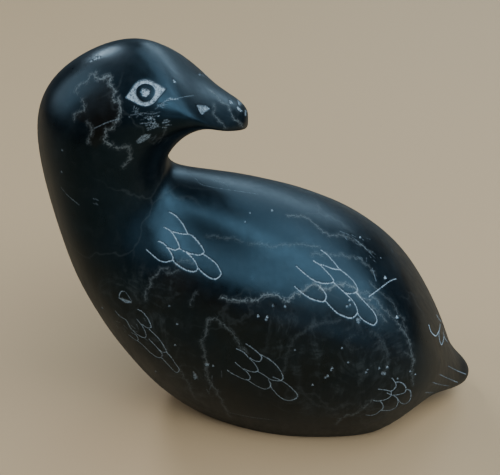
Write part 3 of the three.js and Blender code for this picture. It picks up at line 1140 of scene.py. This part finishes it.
class Nodes:
    """Builds a material's nodes in a few plain steps."""

    def __init__(self, material):
        material.use_nodes = True
        self.tree = material.node_tree
        self.tree.nodes.clear()

    def add(self, kind, inputs=None, **settings):
        """Adds a node. Its inputs are values, or the sockets that they come from."""
        node = self.tree.nodes.new(kind)
        for key, value in settings.items():
            setattr(node, key, value)
        for key, value in (inputs or {}).items():
            if isinstance(value, bpy.types.NodeSocket):
                self.tree.links.new(value, node.inputs[key])
            else:
                node.inputs[key].default_value = value
        return node

    def maths(self, operation, *values, clamp=False):
        """The result of one step of arithmetic."""
        inputs = dict(enumerate(values))
        node = self.add("ShaderNodeMath", inputs, operation=operation, use_clamp=clamp)
        return node.outputs[0]

    def times(self, *values, clamp=False):
        return self.maths("MULTIPLY", *values, clamp=clamp)

    def plus(self, *values, clamp=False):
        return self.maths("ADD", *values, clamp=clamp)

    def most(self, *values, clamp=False):
        return self.maths("MAXIMUM", *values, clamp=clamp)

    def share(self, name, value):
        """A value turned into a share of a finish, and held inside its range."""
        low, high, to_low, to_high = SHARES[name]
        inputs = {
            "Value": value,
            "From Min": low,
            "From Max": high,
            "To Min": to_low,
            "To Max": to_high,
        }
        return self.add("ShaderNodeMapRange", inputs).outputs[0]

    def blend(self, share, first, second):
        """A mix of two colours."""
        inputs = {0: share, 6: first, 7: second}
        return self.add("ShaderNodeMix", inputs, data_type="RGBA").outputs[2]

    def grain(self, name, place, output="Fac"):
        """A noise of the stone's grain."""
        scale, detail, roughness, distortion = GRAIN[name]
        inputs = {
            "Vector": place,
            "Scale": scale,
            "Detail": detail,
            "Roughness": roughness,
            "Distortion": distortion,
        }
        return self.add("ShaderNodeTexNoise", inputs).outputs[output]

    def stretched(self, place, scale):
        """Places squeezed by this scale, so that a noise there comes out longer."""
        return self.add("ShaderNodeMapping", {"Vector": place, "Scale": scale}).outputs[0]

    def bent_edges(self, place, noise, bend, scale):
        """Distance to the edges of cells that a noise bends."""
        reach = (bend, bend, bend)
        shift = self.add("ShaderNodeVectorMath", {0: noise, 1: reach}, operation="MULTIPLY")
        bent = self.add("ShaderNodeVectorMath", {0: place, 1: shift.outputs[0]}, operation="ADD")
        inputs = {"Vector": bent.outputs[0], "Scale": scale}
        cells = self.add("ShaderNodeTexVoronoi", inputs, feature="DISTANCE_TO_EDGE")
        return cells.outputs["Distance"]

    def mark(self, name):
        """One of the numbers that the mesh carries at its points."""
        return self.add("ShaderNodeAttribute", attribute_name=name).outputs["Fac"]


def colour(values, tone=1.0):
    """A colour at this brightness, with full opacity."""
    return (*[value * tone for value in values], 1.0)


def cloudy_stone(nodes, place, clouds, mottle, colours):
    """Cloudy blue-black stone, brown-grey in parts: partly its own brown, partly a painted
    reflection of a brown floor low on the body and towards the tail.
    """
    body = nodes.blend(nodes.share("slate", clouds), colour(colours.deep), colour(colours.slate))
    # Brown low on the body and towards the tail, partly a painted reflection of a brown floor
    brown_and_reflection = nodes.most(nodes.mark("dull"), nodes.mark("brown_and_reflection"))
    brown_and_reflection = nodes.times(brown_and_reflection, nodes.share("brown drift", nodes.grain("drift", place)))
    body = nodes.blend(brown_and_reflection, body, colour(colours.brown))
    patch = nodes.times(nodes.mark("patch"), PATCH_SHARE)
    body = nodes.blend(patch, body, colour(colours.brown, PATCH_TONE))
    return nodes.blend(nodes.share("mottle", mottle), body, colour(colours.vein, MOTTLE_TONE))


def pale_wisps(nodes, place):
    """Pale haze and wisps, low on the flank and the breast."""
    brushed = nodes.grain("brushed", nodes.stretched(place, BRUSH_STRETCH))
    swirl = nodes.grain("swirl", place)
    swirl = nodes.maths("ABSOLUTE", nodes.maths("SUBTRACT", swirl, 0.5))
    wisps = nodes.times(nodes.share("wisp lines", swirl), nodes.share("wisp gaps", brushed))
    wisps = nodes.plus(wisps, nodes.share("wisp ground", brushed))
    return nodes.times(wisps, nodes.share("wisps in haze", nodes.mark("haze")), clamp=True)


def mineral_veins(nodes, place, grit):
    """The veins, ragged and with strands beside them, and a faint broken crackle all over."""
    warp = nodes.grain("warp", place, "Color")
    crackle = nodes.bent_edges(place, warp, CRACKLE_BEND, CRACKLE_SCALE)
    gaps = nodes.share("crackle gaps", nodes.grain("gaps", place))
    faint = nodes.times(nodes.share("crackle lines", crackle), gaps)
    faint = nodes.times(faint, nodes.mark("far"))
    ramp = nodes.mark("vein_ramp")
    ragged = nodes.grain("ragged", place)
    core = nodes.share("vein core", nodes.plus(ramp, nodes.share("vein fray", ragged)))
    edges = nodes.bent_edges(place, ragged, STRAND_BEND, STRAND_SCALE)
    strands = nodes.share("vein strands", edges)
    strands = nodes.times(strands, nodes.share("strands near vein", ramp))
    halo = nodes.times(nodes.maths("POWER", ramp, HALO_FALL), nodes.share("vein halo", ragged))
    core = nodes.times(nodes.most(core, nodes.most(halo, strands)), nodes.mark("vein_tone"))
    return nodes.times(nodes.most(core, faint), nodes.share("vein grit", grit), clamp=True)


def pale_marks(nodes, place, grit):
    """Scratched lines, the hatched cut of the eye, broken chips and a few flecks in the stone."""
    scratched = nodes.times(nodes.mark("scratched"), nodes.share("line chalk", grit))
    hatch = nodes.grain("hatch", place)
    hatched = nodes.times(nodes.mark("eye_cut"), nodes.share("eye hatching", hatch))
    broken = nodes.times(nodes.share("chip grit", grit), nodes.share("chip hatching", hatch))
    chipped = nodes.times(nodes.mark("chipped"), broken)
    cells = nodes.add("ShaderNodeTexVoronoi", {"Vector": place, "Scale": FLECK_SCALE})
    chance = nodes.add("ShaderNodeSeparateColor", {"Color": cells.outputs["Color"]}).outputs[0]
    fleck = nodes.share("flecks", cells.outputs["Distance"])
    fleck = nodes.times(nodes.times(fleck, nodes.share("fleck chance", chance)), FLECK_SHARE)
    return nodes.most(nodes.most(nodes.most(scratched, hatched), chipped), fleck, clamp=True)


def stone_material(colours):
    """Polished soapstone: cloudy stone with veins, wisps and flecks, and pale where it is cut."""
    material = bpy.data.materials.new("polished_soapstone")
    nodes = Nodes(material)
    place = nodes.add("ShaderNodeTexCoord").outputs["Object"]
    clouds = nodes.grain("clouds", place)
    mottle = nodes.grain("mottle", place)
    grit = nodes.grain("grit", place)

    # Colour
    body = cloudy_stone(nodes, place, clouds, mottle, colours)
    body = nodes.blend(pale_wisps(nodes, place), body, colour(colours.vein, WISP_TONE))
    vein = mineral_veins(nodes, place, grit)
    body = nodes.blend(vein, body, colour(colours.vein))
    pale = pale_marks(nodes, place, grit)
    body = nodes.blend(pale, body, colour(colours.scratched))

    # Polish, duller at a mark and where the surface slants away
    streaks = nodes.grain("streaks", nodes.stretched(place, STREAK_STRETCH))
    polish = nodes.plus(nodes.share("cloud polish", clouds), nodes.share("streak polish", streaks))
    dull = nodes.most(pale, nodes.times(vein, VEIN_ROUGHNESS))
    polish = nodes.plus(polish, nodes.times(dull, PALE_ROUGHNESS))
    slant = nodes.add("ShaderNodeLayerWeight", {"Blend": 0.5}).outputs["Facing"]
    polish = nodes.plus(polish, nodes.share("slant polish", slant), clamp=True)

    # Fine relief
    relief = nodes.plus(nodes.times(streaks, STREAK_RELIEF), nodes.times(mottle, MOTTLE_RELIEF))
    relief = nodes.plus(relief, nodes.times(nodes.times(grit, pale), GRIT_RELIEF))
    inputs = {"Height": relief, "Strength": BUMP_STRENGTH, "Distance": BUMP_DISTANCE * MM}
    bump = nodes.add("ShaderNodeBump", inputs).outputs[0]

    inputs = {
        "Base Color": body,
        "Roughness": polish,
        "Normal": bump,
        "IOR": STONE_IOR,
        "Specular Tint": colour(SHINE_TINT),
    }
    shader = nodes.add("ShaderNodeBsdfPrincipled", inputs)
    nodes.add("ShaderNodeOutputMaterial", {"Surface": shader.outputs[0]})
    return material


# Stage


def floor_material(stage):
    """A plain pale floor."""
    material = bpy.data.materials.new("pale_floor")
    nodes = Nodes(material)
    inputs = {"Base Color": colour(stage.floor_colour), "Roughness": FLOOR_ROUGHNESS}
    shader = nodes.add("ShaderNodeBsdfPrincipled", inputs)
    nodes.add("ShaderNodeOutputMaterial", {"Surface": shader.outputs[0]})
    return material


def soft_light(name, azimuth, elevation, distance, width, height, power, tint):
    """A large soft lamp that faces the middle of the bird."""
    lamp = bpy.data.lights.new(name, "AREA")
    lamp.shape = "RECTANGLE"
    lamp.size = width
    lamp.size_y = height
    lamp.energy = power
    lamp.color = tint
    turn, rise = math.radians(azimuth), math.radians(elevation)
    way = Vector((math.cos(rise) * math.cos(turn), math.cos(rise) * math.sin(turn), math.sin(rise)))
    light = bpy.data.objects.new(name, lamp)
    light.location = Vector(LIGHT_AIM) + way * distance
    light.rotation_euler = (-way).to_track_quat("-Z", "Y").to_euler()
    bpy.context.scene.collection.objects.link(light)


# Steps and panel


class CARVING_OT_bird(bpy.types.Operator):
    """Carve the bird with its eyes, scratched feathers, veins and chips"""

    bl_idname = "carving.make_bird"
    bl_label = "Carve the bird"
    bl_options = {"REGISTER", "UNDO"}

    def execute(self, context):
        scene = context.scene
        form = scene.carving_form
        points, triangles, marks = carve(form, scene.carving_marks, scene.carving_stage)
        count = len(triangles)
        if count > MOST_TRIANGLES:
            raise RuntimeError(f"the bird has {count} triangles, more than {MOST_TRIANGLES}")
        bird = mesh_object("carved_bird", points, triangles, marks)
        bird.data.materials.append(stone_material(scene.carving_colours))
        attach(bird, BODY)
        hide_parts(CAD_NODE)
        return {"FINISHED"}


class CARVING_OT_stage(bpy.types.Operator):
    """Set the floor, the soft lights and the camera"""

    bl_idname = "carving.set_stage"
    bl_label = "Set the stage"
    bl_options = {"REGISTER", "UNDO"}

    def execute(self, context):
        scene = context.scene
        stage = scene.carving_stage
        half = stage.floor_size / 2
        corners = np.array([(-half, -half, 0), (half, -half, 0), (half, half, 0), (-half, half, 0)])
        floor = mesh_object("floor", corners, np.array([(0, 1, 2), (0, 2, 3)]), {})
        floor.data.materials.append(floor_material(stage))
        for *place, power, tint in LIGHTS:
            soft_light(*place, power * stage.light_power, tint)
        world = bpy.data.worlds.new("studio")
        world.use_nodes = True
        background = world.node_tree.nodes["Background"]
        background.inputs["Color"].default_value = colour(ROOM_COLOUR)
        background.inputs["Strength"].default_value = ROOM_STRENGTH * stage.light_power
        scene.world = world
        lens = bpy.data.cameras.new("camera")
        lens.sensor_fit = "HORIZONTAL"
        lens.sensor_width = SENSOR_WIDTH
        lens.lens = stage.lens
        lens.clip_start = NEAR_LIMIT
        camera = bpy.data.objects.new("camera", lens)
        camera.location = (stage.camera_side, -stage.camera_back, stage.camera_height)
        camera.rotation_euler = (math.pi / 2 - stage.camera_pitch, 0, 0)
        scene.collection.objects.link(camera)
        scene.camera = camera
        return {"FINISHED"}


class CARVING_PT_panel(bpy.types.Panel):
    """Sizes, colours and the steps of the carving"""

    bl_label = "Soapstone bird"
    bl_idname = "CARVING_PT_panel"
    bl_space_type = "VIEW_3D"
    bl_region_type = "UI"
    bl_category = "Carving"

    def draw(self, context):
        scene = context.scene
        for title, group in (
            ("Form", scene.carving_form),
            ("Marks", scene.carving_marks),
            ("Colours", scene.carving_colours),
            ("Stage", scene.carving_stage),
        ):
            box = self.layout.box()
            box.label(text=title)
            for name in group.bl_rna.properties.keys():
                if name not in ("rna_type", "name"):
                    box.prop(group, name)
        for step in STEPS:
            self.layout.operator(step.bl_idname)


STEPS = (CARVING_OT_stage, CARVING_OT_bird)
GROUPS = {
    "carving_form": CarvingForm,
    "carving_marks": CarvingMarks,
    "carving_colours": CarvingColours,
    "carving_stage": CarvingStage,
}


def register():
    for group in GROUPS.values():
        bpy.utils.register_class(group)
    for name, group in GROUPS.items():
        setattr(bpy.types.Scene, name, PointerProperty(type=group))
    for step in STEPS:
        bpy.utils.register_class(step)
    bpy.utils.register_class(CARVING_PT_panel)


def unregister():
    bpy.utils.unregister_class(CARVING_PT_panel)
    for step in reversed(STEPS):
        bpy.utils.unregister_class(step)
    for name in GROUPS:
        delattr(bpy.types.Scene, name)
    for group in reversed(GROUPS.values()):
        bpy.utils.unregister_class(group)


def main():
    register()
    bpy.ops.carving.set_stage()
    bpy.ops.carving.make_bird()


if __name__ == "__main__":
    main()
